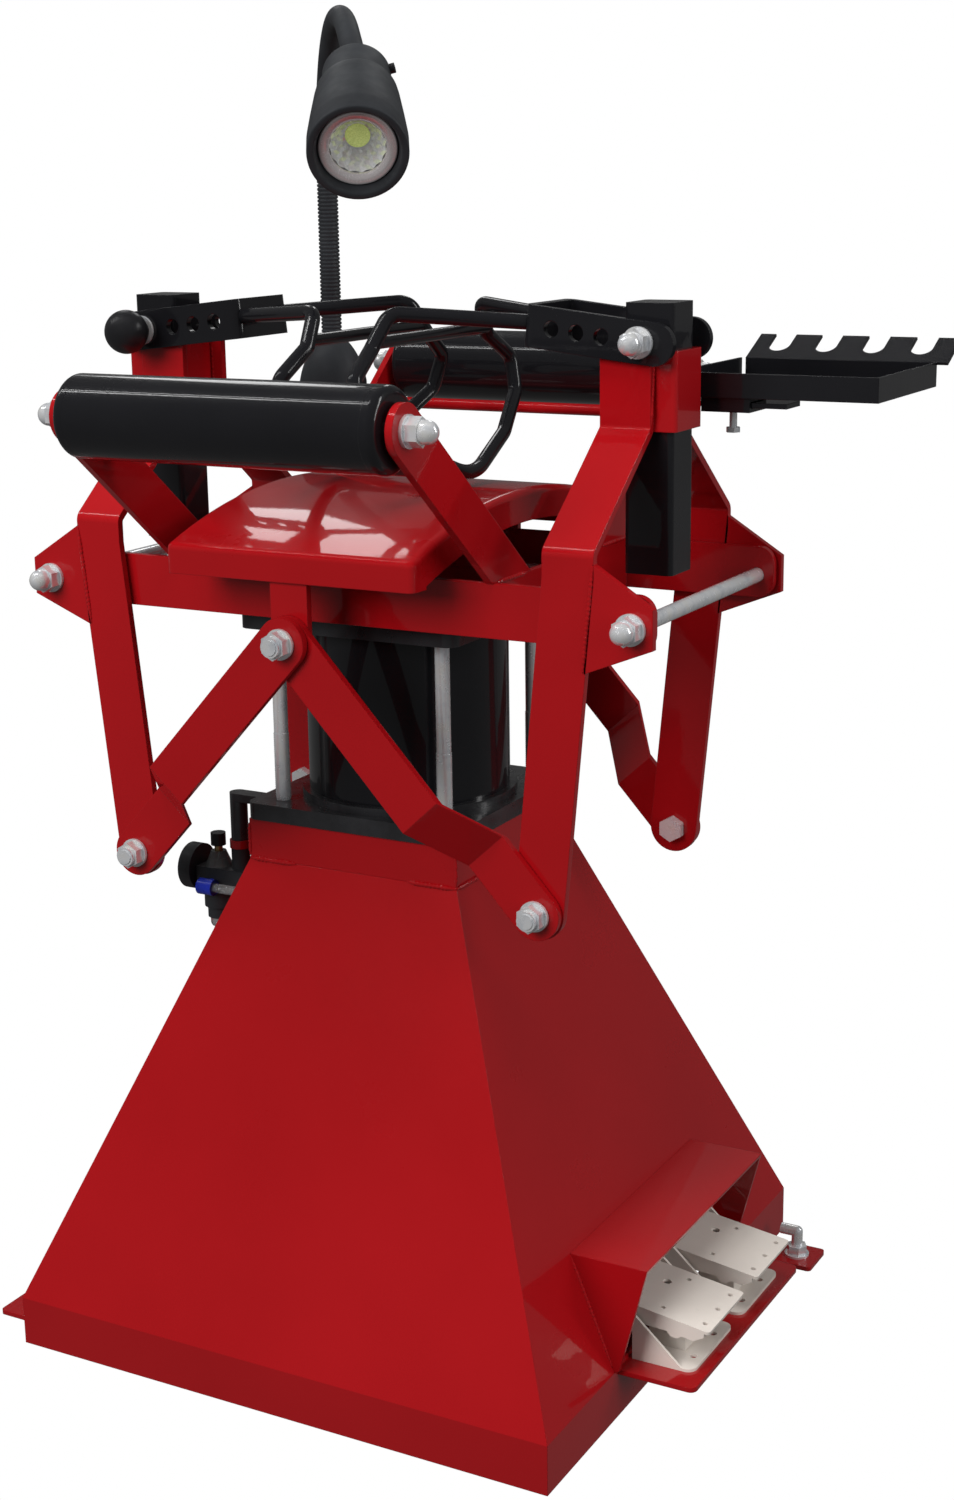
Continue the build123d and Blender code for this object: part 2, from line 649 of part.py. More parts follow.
def saddle_lug():
    """Front lug that carries the upper ends of two links."""
    y = (-LUG_Y[1], -LUG_Y[0])
    half = LUG_W / 2
    plate = block((-half, half), y, (LUG_PIVOT_Z, SADDLE_EDGE - 4))
    plate += rod((0, y[0], LUG_PIVOT_Z), (0, y[1], LUG_PIVOT_Z), half)
    return plate - rod((0, y[0] - 1, LUG_PIVOT_Z), (0, y[1] + 1, LUG_PIVOT_Z), AXLE_R)


def link_depth(order):
    """Outer distance from the middle of the upper end of a link: order 0 lies on the lug."""
    return LUG_Y[1] + LINK_GAP + order * (FLAT + LINK_GAP)


def lug_bolt():
    """Front lug bolt with its head behind the lug, washer and lock nut in front of the links."""
    seat = link_depth(2)
    z = LUG_PIVOT_Z
    bolt = rod((0, -LUG_Y[0], z), (0, -seat - 16, z), AXLE_R)
    bolt += hexagon((0, -LUG_Y[0], z), (0, 1, 0), 19, 7.5)
    plate = washer((0, -seat, z), (0, -1, 0), 12.0, AXLE_R, 2.5)
    return bolt, plate, lock_nut((0, -seat - 2.5, z), (0, -1, 0))


def link(order):
    """Front link that runs down to the right, joggled back towards the arm."""
    px, pz = ARM_PIVOT
    length = hypot(px, LUG_PIVOT_Z - pz)
    half = LINK_W / 2
    high = -link_depth(order)
    low = -(ARM_Y[1] + LINK_GAP)
    a, b = length - LINK_FLAT - LINK_JOG, length - LINK_FLAT
    mitre = FLAT * tan(atan2(low - high, LINK_JOG) / 2)
    profile = [(-half, high), (a + mitre, high), (b + mitre, low), (length + half, low),
               (length + half, low - FLAT), (b, low - FLAT), (a, high - FLAT), (-half, high - FLAT)]
    ribbon = extrude(make_face(Polyline(*profile, close=True)), amount=half, both=True)
    shape = block((0, length), (-250, -100), (-half, half))
    shape += rod((0, -250, 0), (0, -100, 0), half) + rod((length, -250, 0), (length, -100, 0), half)
    bar = ribbon & shape
    bar -= rod((0, -250, 0), (0, -100, 0), AXLE_R + RUN)
    bar -= rod((length, -250, 0), (length, -100, 0), LINK_HOLE)
    turn = degrees(atan2(LUG_PIVOT_Z - pz, px))
    return Pos(0, 0, LUG_PIVOT_Z) * (Rot(0, turn, 0) * bar)


# ---------------------------------------------------------------- hooks
def hook_bracket():
    """Right bracket: flat bar bent to a U round the post, with three spare holes a side."""
    half = HOOK_H / 2
    reach, tail = HOOK_REACH, HOOK_TAIL
    inner, outer = HOOK_LEG_Y
    body = block((-reach, tail - half), (-outer, outer), (-half, half))
    body += rod((tail - half, -outer, 0), (tail - half, outer, 0), half)
    corners = body.edges().filter_by(Axis.Z).group_by(Axis.X)[0]
    body = fillet(corners, 8)
    slot = block((-reach + FLAT, tail + 5), (-inner, inner), (-half - 1, half + 1))
    slot = fillet(slot.edges().filter_by(Axis.Z).group_by(Axis.X)[0], 3)
    body -= slot
    body -= rod((0, -50, 0), (0, 50, 0), AXLE_R + RUN)
    for at in HOOK_HOLES:
        body -= rod((-at, -50, 0), (-at, 50, 0), 6.25)
    return Pos(POST_X, 0, HOOK_Z) * (Rot(0, HOOK_TILT, 0) * body)


def hook_loop():
    """Right claw: one round bar from web to web through the bottom, with a cross rod welded in."""
    back = LOOP_POINTS
    front = [(x, -y, z) for x, y, z in reversed(back[:-1])]
    path = FilletPolyline(*(back + front), radius=list(LOOP_RADII) + [60.0] + list(reversed(LOOP_RADII)))
    start = Plane(origin=path @ 0, z_dir=path % 0)
    claw = sweep(start * Circle(HOOK_ROD_R), path=path)
    cross = rod((31, -CROSS_ROD_Y, 839), (31, CROSS_ROD_Y, 839), HOOK_ROD_R - 1)
    return (claw + cross) - hook_bracket()


def hook_bolt(knob=False):
    """Right hook pivot rod with washers and cap nuts; the knob's end has only its washer."""
    seat = HOOK_LEG_Y[1] + LINK_GAP
    pieces = capped_rod(POST_X, HOOK_Z, HOOK_LEG_Y[1] + 15, seat)
    return pieces[:2] + pieces[3:] if knob else pieces


def ball_knob():
    """Ball grip screwed on the front end of the left hook pivot."""
    face = -(HOOK_LEG_Y[1] + LINK_GAP + 2.5)
    ball = Pos(-POST_X, face - BALL_R - 1, HOOK_Z) * Sphere(BALL_R)
    neck = rod((-POST_X, face, HOOK_Z), (-POST_X, face - 8, HOOK_Z), 9)
    return ball + neck - rod((-POST_X, face, HOOK_Z), (-POST_X, -HOOK_LEG_Y[1] - 15, HOOK_Z), AXLE_R)


# ---------------------------------------------------------------- tray
def tray():
    """Open tray folded from sheet, with a comb flange that leans back from the rear wall."""
    t = 2.0
    x, y, z = TRAY_X, TRAY_Y, TRAY_Z
    pan = block(x, y, z) - block((x[0] + t, x[1] - t), (y[0] + t, y[1] - t), (z[0] + t, z[1]))
    slit = block((x[0] - 1, x[0] + 5), (y[1] - t, y[1] + 1), (z[0] + t, z[1] + 1))
    pan -= slit
    comb = plate_yz([(y[1] - t, z[1]), (y[1] + COMB_LEAN, z[1] + COMB_RISE),
                     (y[1] + COMB_LEAN + 1, z[1] + COMB_RISE - t), (y[1], z[1] - t)], (x[0] + 5, x[1] + 9))
    pitch = (x[1] - x[0] - 5) / 4.0
    tall = z[1] + COMB_RISE
    for i in range(4):
        cx = x[0] + 5 + pitch * (i + 0.55)
        comb -= block((cx - 9, cx + 9), (y[1] + 18, y[1] + 50), (z[1] - 5, tall + 5))
        comb -= rod((cx, y[1] + 18, z[1] - 10), (cx, y[1] + 18, tall + 5), 9)
    cx, cy = CLAMP_AT
    runner = block((cx - 20, cx + 20), (cy - 17, cy + 18), (z[0] - 11, z[0]))
    runner -= block((cx - 25, cx + 25), (cy - 14.5, cy + 15.5), (z[0] - 8, z[0] - 3))
    body = pan + comb + runner
    return body - rod((cx, cy, z[0] - 20), (cx, cy, z[0] - 7), 3 + RUN)


def tray_bracket():
    """Flat tongue welded behind the right rear leg, that the tray slides on."""
    z = (TRAY_Z[0] - 7.5, TRAY_Z[0] - 3.5)
    y0 = ARM_FACE_Y + FLAT
    tongue = block((203, 312), (CLAMP_AT[1] - 14, CLAMP_AT[1] + 15), z)
    return tongue + block((203, 233), (y0, CLAMP_AT[1]), z)


def clamp_screw():
    z0 = TRAY_Z[0] - 8
    x, y = CLAMP_AT
    return rod((x, y, z0 - 16), (x, y, z0), 3) + hexagon((x, y, z0 - 16), (0, 0, -1), 10, 4)


# ---------------------------------------------------------------- lamp
def lamp_axis():
    return Vector(*HEAD_DIR).normalized()


def neck_path():
    """Upright, one bend, and a short straight run into the head."""
    x, y = LAMP_AT
    out = Vector(NECK_DIR[0], NECK_DIR[1], 0)
    low = Vector(x, y, NECK_Z[0])
    top = Vector(x, y, NECK_Z[1])
    down = radians(NECK_DOWN)
    turn = pi / 2 + down
    centre = top + out * NECK_BEND
    on_arc = [centre - out * (NECK_BEND * cos(t)) + Vector(0, 0, NECK_BEND * sin(t)) for t in (turn / 2, turn)]
    way = out * cos(down) - Vector(0, 0, sin(down))
    end = on_arc[1] + way * NECK_RUN
    return Line(low, top) + ThreePointArc(top, *on_arc) + Line(on_arc[1], end), end


def lamp_neck():
    path, _ = neck_path()
    return sweep(Plane(origin=(LAMP_AT[0], LAMP_AT[1], NECK_Z[0])) * Circle(NECK_R), path=path)


def lamp_base():
    """Round housing and domed boot; the neck turns in its socket."""
    x, y = LAMP_AT
    z0 = LAMP_FOOT_Z
    housing = rod((x, y, z0), (x, y, z0 + 36), LAMP_BOOT_R)
    rings = ((36, LAMP_BOOT_R), (56, LAMP_BOOT_R - 6), (73, 14.0))
    boot = loft([(Pos(x, y, z0 + dz) * Circle(r)).face() for dz, r in rings])
    return housing + boot - rod((x, y, NECK_Z[0] - 0.5), (x, y, z0 + 90), NECK_R + RUN)


def lamp_shelf():
    """Angle bracket on the outside of the left rear roller arm, under the lamp."""
    x, y = LAMP_AT
    z0 = LAMP_FOOT_Z
    edge = -CROSS_X[1]
    level = block((x - 34, edge), (y - 32, y + 32), (z0 - 4, z0))
    web = block((edge - 4, edge), (y - 12, y + 14), (z0, z0 + 26))
    return level + web


def head_plane(distance):
    """Plane across the lamp head at a distance in front of its back."""
    _, end = neck_path()
    return Plane(origin=end + lamp_axis() * distance, z_dir=lamp_axis())


def head_disc(radius, start, stop):
    return Solid.make_cylinder(radius, stop - start, head_plane(start))


def lamp_head():
    """Stepped housing: rear barrel, wider middle barrel and rim, hollow at the front."""
    shell = head_disc(HEAD_R[0], -8, HEAD_L[0])
    back = shell.faces().sort_by(Axis((0, 0, 0), tuple(lamp_axis())))[0]
    shell = fillet(back.edges(), 10)
    shell += head_disc(HEAD_R[1], HEAD_L[0], HEAD_L[1]) + head_disc(HEAD_R[2], HEAD_L[1], HEAD_L[2])
    shell -= head_disc(HEAD_R[2] - 5, HEAD_L[1] + 6, HEAD_L[2])
    shell -= head_disc(25, HEAD_L[0] + 20, HEAD_L[2])
    return shell - switch_solid(4.2, 5) - lamp_neck()


def switch_solid(radius, depth):
    """Round push button on the upper side of the rear barrel."""
    side = head_plane(24)
    up = side.x_dir if side.x_dir.Z > side.y_dir.Z else side.y_dir
    start = side.origin + up * (HEAD_R[0] - depth)
    return Solid.make_cylinder(radius, depth + 3.0, Plane(origin=start, z_dir=up))


def lamp_switch():
    return switch_solid(4.0, 3)


def lamp_bezel():
    """Ring that holds the lens."""
    z = HEAD_L[2] - 12
    return head_disc(HEAD_R[2] - 5.05, z, z + 3) - head_disc(26, z, z + 3)


def lamp_reflector():
    """Conical reflector cup behind the lens."""
    z = (HEAD_L[2] - 32, HEAD_L[2] - 12)
    outer = loft([(head_plane(z[0]) * Circle(11)).face(), (head_plane(z[1]) * Circle(30)).face()])
    inner = loft([(head_plane(z[0] + 1) * Circle(9)).face(), (head_plane(z[1]) * Circle(28.5)).face()])
    return outer - inner


def lamp_led():
    z = HEAD_L[2] - 31
    return head_disc(8.5, z, z + 1.5)


def lamp_lens():
    z = HEAD_L[2] - 12
    return head_disc(25.9, z, z + 2.5)


# ---------------------------------------------------------------- air unit
def air_manifold():
    """Ring and column under the cover's port, and the block that carries the air unit."""
    x, y = PORT_X, UNIT[1]
    port = COLLAR_Z[1] - 34.0
    ring = rod((x, y, port - 7), (x, y, port), 9)
    body = block((UNIT[0] - 16, x + 9), (y - 12, y + 12), (UNIT_LOW, UNIT_TOP))
    body += rod((x, y, UNIT_TOP), (x, y, port - 7), 8)
    return ring, body - rod((UNIT[0], y + 2, INLET_Z), (UNIT[0], y + 13, INLET_Z), INLET_R)


def regulator():
    x, y = UNIT
    body = rod((x, y, UNIT_LOW - 14), (x, y, UNIT_LOW), 14)
    return body + rod((x, y, UNIT_LOW - 24), (x, y, UNIT_LOW - 14), 11.5)


def clear_bowls():
    """Clear sight dome on top of the unit and clear bowl under it."""
    x, y = UNIT
    low = UNIT_LOW - 24
    dome = loft([(Pos(x, y, UNIT_TOP) * Circle(12)).face(), (Pos(x, y, UNIT_TOP + 13) * Circle(6.5)).face()])
    bowl = rod((x, y, low - 10), (x, y, low), 9.5)
    return dome, fillet(bowl.faces().sort_by(Axis.Z)[0].edges(), 5)


def drip_knob():
    """Knurled knob with its stem."""
    x, y = UNIT
    stem = rod((x, y, UNIT_TOP + 13), (x, y, UNIT_TOP + 18), 3.5)
    return stem + rod((x, y, UNIT_TOP + 18), (x, y, UNIT_TOP + 29), 6.5)


def gauge():
    """Round pressure gauge that faces left, with its stem in the block."""
    x, y = UNIT
    case = rod((x - 18, y, GAUGE_Z), (x - 30, y, GAUGE_Z), 20)
    case -= rod((x - 27, y, GAUGE_Z), (x - 31, y, GAUGE_Z), 18)
    return case + rod((x - 16, y, GAUGE_Z - 7), (x - 18, y, GAUGE_Z - 7), 7)


def gauge_needle():
    x, y = UNIT
    hub = rod((x - 27.3, y, GAUGE_Z), (x - 28.8, y, GAUGE_Z), 2.5)
    pointer = block((x - 28.6, x - 27.6), (y - 1, y + 1), (GAUGE_Z - 15, GAUGE_Z + 4))
    return (hub + pointer).rotate(Axis((x, y, GAUGE_Z), (1, 0, 0)), 45)


def air_tube():
    """Push-in elbow on the front of the block and the short clear tube into the base."""
    x, y = UNIT[0], UNIT[1] - 20
    z = UNIT_LOW + 7.5
    elbow = rod((x, y, z), (x, y + 8, z), 5) + rod((x - 7, y, z), (x + 8, y, z), 7)
    return elbow, rod((x + 8, y, z), (-base_half(z - 4)[0] - 0.3, y, z), 4)


# ---------------------------------------------------------------- nodes
def main():
    save("base_pyramid", *base_panels(), base_tab(1), base_tab(-1))
    save("base_collar", base_collar())
    save("anchor_bolt", *anchor_bolt())
    save("pedal_hood", pedal_hood())
    save("pedal_shelf", pedal_shelf())
    save("foot_valves", *(foot_valve(PEDAL_Y[0]) + foot_valve(PEDAL_Y[1])))
    save("pedal_front", pedal(PEDAL_Y[0]))
    save("pedal_rear", pedal(PEDAL_Y[1]))
    save("plunger_front", plunger(PEDAL_Y[0]))
    save("plunger_rear", plunger(PEDAL_Y[1]))

    save("cylinder_covers", cylinder_base_cover(), cylinder_top_cover())
    save("cylinder_tube", cylinder_tube())
    save("tie_rods", *tie_rods())
    save("piston", piston())
    save("piston_rod", piston_rod())

    save("frame_rails", *frame_rails())
    save("frame_top_plate", frame_top_plate())
    front_arms, front_axle, front_roller = roller_arms(), roller_axle(), roller()
    save("roller_arms_front", *front_arms)
    save("roller_arms_rear", *[mirror_y(s) for s in front_arms])
    save("roller_axle_front", *front_axle)
    save("roller_axle_rear", *[mirror_y(s) for s in front_axle])
    save("roller_front", *front_roller)
    save("roller_rear", *[mirror_y(s) for s in front_roller])

    sides = {
        "arm_{}_legs": arm_legs(),
        "axle_{}": main_axle() + link_bolts(),
        "post_{}": [post()],
        "hook_bracket_{}": [hook_bracket()],
        "hook_loop_{}": [hook_loop()],
    }
    for pattern, shapes in sides.items():
        save(pattern.format("right"), *shapes)
        save(pattern.format("left"), *[mirror_x(s) for s in shapes])
    save("arm_sleeve_right", arm_sleeve())
    save("tray_bracket", tray_bracket())
    save("arm_sleeve_left", mirror_x(arm_sleeve()))
    save("hook_bolt_right", *hook_bolt())
    save("hook_bolt_left", *[mirror_x(s) for s in hook_bolt(knob=True)])
    save("ball_knob", ball_knob())

    save("saddle", saddle(), saddle_lug(), mirror_y(saddle_lug()))
    save("lug_bolts", *lug_bolt(), *[mirror_y(s) for s in lug_bolt()])
    right, left = link(0), mirror_x(link(1))
    save("link_front_right", right)
    save("link_front_left", left)
    save("link_rear_right", mirror_y(right))
    save("link_rear_left", mirror_y(left))

    save("tray", tray())
    save("clamp_screw", clamp_screw())

    save("lamp_base", lamp_shelf(), lamp_base())
    save("lamp_neck", lamp_neck())
    save("lamp_head", lamp_head(), lamp_bezel())
    save("lamp_reflector", lamp_reflector())
    save("lamp_led", lamp_led())
    save("lamp_lens", lamp_lens())
    save("lamp_switch", lamp_switch())

    save("air_unit", *air_manifold(), regulator())
    save("clear_bowls", *clear_bowls())
    save("drip_knob", drip_knob())
    save("gauge", gauge())
    save("gauge_needle", gauge_needle())
    save("air_tube", *air_tube())


main()
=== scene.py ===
"""Looks of the pneumatic tyre spreader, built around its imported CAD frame.

Lengths are metres in the part's own frame: origin on the floor at the centre of the base,
+X to the tray, +Y away from the front roller, +Z up.
"""
import json
import math
import random

import bpy
import bmesh
from mathutils import Matrix, Vector


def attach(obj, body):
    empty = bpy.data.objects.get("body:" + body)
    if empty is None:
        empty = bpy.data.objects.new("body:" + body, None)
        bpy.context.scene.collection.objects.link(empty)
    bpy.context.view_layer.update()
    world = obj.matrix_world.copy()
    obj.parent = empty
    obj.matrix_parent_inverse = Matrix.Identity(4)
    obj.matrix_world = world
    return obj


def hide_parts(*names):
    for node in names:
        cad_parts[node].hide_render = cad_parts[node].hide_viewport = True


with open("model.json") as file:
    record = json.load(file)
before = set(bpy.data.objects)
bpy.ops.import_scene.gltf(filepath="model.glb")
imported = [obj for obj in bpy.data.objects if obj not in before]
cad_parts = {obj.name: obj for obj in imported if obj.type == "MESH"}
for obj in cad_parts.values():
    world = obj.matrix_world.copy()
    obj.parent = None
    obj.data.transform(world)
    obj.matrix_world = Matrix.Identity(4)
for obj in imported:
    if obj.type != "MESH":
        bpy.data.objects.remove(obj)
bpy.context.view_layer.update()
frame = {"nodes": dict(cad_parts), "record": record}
NODES = frame["nodes"]
rng = random.Random(7)

# ---------------------------------------------------------------- camera and light
CAM_POS = (0.9220, -1.5628, 0.9661)
CAM_YAW, CAM_PITCH, CAM_ROLL = 28.747, 14.615, -0.861   # degrees
CAM_LENS = 53.47
VIEW_TRANSFORM = "Standard"
ROOM_LIGHT = 0.10
# lights: name, place, target, size, watts
SOFT_LIGHTS = [
    ("key", (-0.9, -3.2, 2.2), (0, -0.2, 0.4), (2.0, 2.0), 134),
    ("fill_right", (3.2, -0.6, 1.5), (0, 0, 0.5), (1.6, 2.0), 46),
    ("fill_top", (0.3, -0.6, 3.4), (0, 0, 0.6), (1.8, 1.8), 62),
]
WINDOW_LIGHTS = [
    ("window_left", (-2.05, 2.15, 2.75), (0, 0, 0.7), (0.55, 0.9), 4.5),
    ("window_right", (-0.95, 2.9, 2.75), (0, 0, 0.7), (0.55, 0.9), 4.5),
    ("strip_right", (2.6, 1.2, 1.7), (0, 0, 0.6), (0.35, 1.8), 16),
]
STRIP_LIGHTS = [
    ("strip_a", (-1.4, -0.80, 2.70), (0, -0.24, 0.8), (2.0, 0.05), 4.5),
    ("strip_b", (-1.4, -0.62, 2.72), (0, -0.24, 0.8), (2.0, 0.03), 2.6),
]


def add_camera():
    """Camera from yaw, pitch and roll."""
    yaw, pitch, roll = (math.radians(v) for v in (CAM_YAW, CAM_PITCH, CAM_ROLL))
    ahead = Vector((-math.sin(yaw) * math.cos(pitch), math.cos(yaw) * math.cos(pitch), -math.sin(pitch)))
    right = Vector((math.cos(yaw), math.sin(yaw), 0.0))
    up = right.cross(ahead)
    right_r = right * math.cos(roll) + up * math.sin(roll)
    up_r = up * math.cos(roll) - right * math.sin(roll)
    data = bpy.data.cameras.new("photo_camera")
    data.lens = CAM_LENS
    data.clip_end = 50.0
    camera = bpy.data.objects.new("photo_camera", data)
    matrix = Matrix.Identity(4)
    for column, axis in enumerate((right_r, up_r, -ahead)):
        for row in range(3):
            matrix[row][column] = axis[row]
    matrix.translation = Vector(CAM_POS)
    camera.matrix_world = matrix
    bpy.context.scene.collection.objects.link(camera)
    bpy.context.scene.camera = camera


def area_light(name, at, target, size, energy, shine=True, level=False):
    """Rectangular light: without shine it isn't seen in gloss; level lays its long side along X."""
    data = bpy.data.lights.new(name, "AREA")
    data.shape = "RECTANGLE"
    data.size, data.size_y = size
    data.energy = energy
    light = bpy.data.objects.new(name, data)
    light.location = at
    back = (Vector(at) - Vector(target)).normalized()
    if level:
        across = (Vector((1, 0, 0)) - back * back.x).normalized()
        turn = Matrix((across, back.cross(across), back)).transposed()
        light.rotation_euler = turn.to_euler()
    else:
        light.rotation_euler = (-back).to_track_quat("-Z", "Y").to_euler()
    light.visible_glossy = shine
    bpy.context.scene.collection.objects.link(light)


def add_world():
    """White behind the object, and a dim grey room for everything it reflects."""
    world = bpy.data.worlds.new("studio")
    world.use_nodes = True
    tree = world.node_tree
    seen = tree.nodes["Background"]
    seen.inputs["Color"].default_value = (1.0, 1.0, 1.0, 1.0)
    seen.inputs["Strength"].default_value = 1.0
    room = tree.nodes.new("ShaderNodeBackground")
    room.inputs["Color"].default_value = (1.0, 1.0, 1.0, 1.0)
    room.inputs["Strength"].default_value = ROOM_LIGHT
    ray = tree.nodes.new("ShaderNodeLightPath")
    mix = tree.nodes.new("ShaderNodeMixShader")
    tree.links.new(ray.outputs["Is Camera Ray"], mix.inputs[0])
    tree.links.new(room.outputs[0], mix.inputs[1])
    tree.links.new(seen.outputs[0], mix.inputs[2])
    tree.links.new(mix.outputs[0], tree.nodes["World Output"].inputs["Surface"])
    bpy.context.scene.world = world


def add_studio():
    """World and every light of the tables above."""
    bpy.context.scene.view_settings.view_transform = VIEW_TRANSFORM
    add_world()
    for light in SOFT_LIGHTS:
        area_light(*light, shine=False)
    for light in WINDOW_LIGHTS:
        area_light(*light)
    for light in STRIP_LIGHTS:
        area_light(*light, level=True)


# ---------------------------------------------------------------- materials
class Shader:
    """Small builder for one node material."""

    def __init__(self, name):
        self.material = bpy.data.materials.new(name)
        self.material.use_nodes = True
        self.tree = self.material.node_tree
        self.bsdf = self.tree.nodes["Principled BSDF"]
        self.coords = self.tree.nodes.new("ShaderNodeTexCoord").outputs["Object"]

    def set(self, **values):
        for key, value in values.items():
            self.bsdf.inputs[key.replace("_", " ")].default_value = value
        return self

    def link(self, a, b):
        self.tree.links.new(a, b)
        return self

    def stretched(self, scale):
        node = self.tree.nodes.new("ShaderNodeMapping")
        node.inputs["Scale"].default_value = scale
        self.link(self.coords, node.inputs["Vector"])
        return node.outputs["Vector"]

    def noise(self, scale, detail=4.0, rough=0.55, vector=None):
        node = self.tree.nodes.new("ShaderNodeTexNoise")
        node.inputs["Scale"].default_value = scale
        node.inputs["Detail"].default_value = detail
        node.inputs["Roughness"].default_value = rough
        self.link(vector or self.coords, node.inputs["Vector"])
        return node.outputs["Fac"]

    def cells(self, scale):
        node = self.tree.nodes.new("ShaderNodeTexVoronoi")
        node.inputs["Scale"].default_value = scale
        self.link(self.coords, node.inputs["Vector"])
        return node.outputs["Distance"]

    def ramp(self, source, stops):
        node = self.tree.nodes.new("ShaderNodeValToRGB")
        ramp = node.color_ramp
        for i, (at, value) in enumerate(stops):
            element = ramp.elements[i] if i < 2 else ramp.elements.new(at)
            element.position = at
            element.color = tuple(value) + (1.0,) if len(value) == 3 else value
        self.link(source, node.inputs["Fac"])
        return node.outputs["Color"]

    def mix(self, factor, a, b):
        node = self.tree.nodes.new("ShaderNodeMix")
        node.data_type = "RGBA"
        for socket, value in ((node.inputs["Factor"], factor), (node.inputs["A"], a),
                              (node.inputs["B"], b)):
            if isinstance(value, (int, float)):
                socket.default_value = value
            elif isinstance(value, tuple):
                socket.default_value = value + (1.0,) if len(value) == 3 else value
            else:
                self.link(value, socket)
        return node.outputs["Result"]

    def math(self, operation, a, b=0.0):
        node = self.tree.nodes.new("ShaderNodeMath")
        node.operation = operation
        for socket, value in zip(node.inputs, (a, b)):
            if isinstance(value, (int, float)):
                socket.default_value = value
            else:
                self.link(value, socket)
        return node.outputs["Value"]

    def bump(self, height, strength, distance, under=None):
        node = self.tree.nodes.new("ShaderNodeBump")
        node.inputs["Strength"].default_value = strength
        node.inputs["Distance"].default_value = distance
        self.link(height, node.inputs["Height"])
        if under is not None:
            self.link(under, node.inputs["Normal"])
        return node.outputs["Normal"]

    def edge(self, radius):
        """Normal that rounds sharp edges by a small radius."""
        node = self.tree.nodes.new("ShaderNodeBevel")
        node.samples = 4
        node.inputs["Radius"].default_value = radius
        return node.outputs["Normal"]

    def colour(self, source):
        return self.link(source, self.bsdf.inputs["Base Color"])

    def rough(self, source, low, high):
        ramp = self.ramp(source, [(0.3, (low,) * 3), (0.7, (high,) * 3)])
        return self.link(ramp, self.bsdf.inputs["Roughness"])

    def normal(self, source):
        return self.link(source, self.bsdf.inputs["Normal"])


def paint(name, base, light, coat, rough, peel=0.12):
    """Sprayed gloss paint: slight colour drift, a little dust and orange peel."""
    s = Shader(name)
    body = s.ramp(s.noise(3.0, 5.0), [(0.3, base), (0.7, light)])
    specks = s.ramp(s.noise(1100.0, 2.0), [(0.73, (0, 0, 0)), (0.80, (1, 1, 1))])
    dust = tuple(min(1.0, c * 1.35 + 0.004) for c in light)
    s.colour(s.mix(specks, body, dust))
    s.rough(s.noise(14.0, 6.0), rough * 0.85, rough * 1.2)
    s.set(Coat_Weight=coat, Coat_Roughness=0.035, Coat_IOR=1.5, Specular_IOR_Level=0.10)
    edge = s.edge(0.0011)
    s.normal(s.bump(s.noise(420.0, 3.0), peel, 0.0004, edge))
    s.link(s.bump(s.noise(240.0, 2.0), peel * 0.7, 0.0003, edge), s.bsdf.inputs["Coat Normal"])
    return s.material


def zinc(name):
    """Bright zinc plate with a bluish passivation and faint drawing marks."""
    s = Shader(name)
    blotch = s.noise(90.0, 6.0)
    stops = [(0.25, (0.62, 0.65, 0.69)), (0.5, (0.84, 0.85, 0.87)), (0.8, (0.86, 0.84, 0.78))]
    s.colour(s.ramp(blotch, stops))
    s.set(Metallic=0.62)
    s.rough(s.noise(160.0, 5.0), 0.14, 0.30)
    s.normal(s.bump(s.noise(1400.0, 2.0), 0.10, 0.00012))
    return s.material


def bare_metal(name, dark, light, low, high, stretch):
    """Turned or drawn metal with marks along one direction."""
    s = Shader(name)
    marks = s.noise(30.0, 8.0, 0.7, s.stretched(stretch))
    s.colour(s.ramp(marks, [(0.3, dark), (0.7, light)]))
    s.set(Metallic=0.7)
    s.rough(marks, low, high)
    s.normal(s.bump(marks, 0.12, 0.0002))
    return s.material


def plastic(name, dark, light, low, high, grain=700.0, depth=0.25):
    """Moulded plastic with a fine spark-eroded grain."""
    s = Shader(name)
    s.colour(s.ramp(s.noise(22.0, 5.0), [(0.3, dark), (0.7, light)]))
    s.rough(s.noise(60.0, 5.0), low, high)
    s.normal(s.bump(s.noise(grain, 2.0), depth, 0.0002))
    return s.material


def powder(name, dark, light):
    """Matt powder coat, warm light grey, with soft scuffs."""
    s = Shader(name)
    body = s.ramp(s.noise(9.0, 5.0), [(0.3, dark), (0.7, light)])
    scuff = s.ramp(s.noise(55.0, 8.0, 0.7), [(0.60, (0, 0, 0)), (0.72, (1, 1, 1))])
    s.colour(s.mix(s.math("MULTIPLY", scuff, 0.35), body, (0.42, 0.40, 0.37)))
    s.rough(s.noise(70.0, 6.0), 0.34, 0.52)
    s.normal(s.bump(s.noise(900.0, 2.0), 0.2, 0.0002))
    return s.material


def cast_paint(name):
    """Satin black paint over a slightly rough casting."""
    s = Shader(name)
    s.colour(s.ramp(s.noise(30.0, 6.0), [(0.3, (0.009, 0.009, 0.010)), (0.7, (0.022, 0.022, 0.024))]))
    s.rough(s.noise(80.0, 6.0), 0.22, 0.42)
    s.set(Coat_Weight=0.5, Coat_Roughness=0.12)
    s.normal(s.bump(s.noise(330.0, 5.0), 0.28, 0.0004))
    return s.material


def clear_plastic(name, tint):
    """See-through moulding of the tube and bowl."""
    s = Shader(name)
    s.colour(s.ramp(s.noise(40.0, 3.0), [(0.3, tint), (0.7, (1.0, 1.0, 1.0))]))
    s.rough(s.noise(90.0, 3.0), 0.02, 0.08)
    s.set(Transmission_Weight=0.92, IOR=1.49)
    return s.material


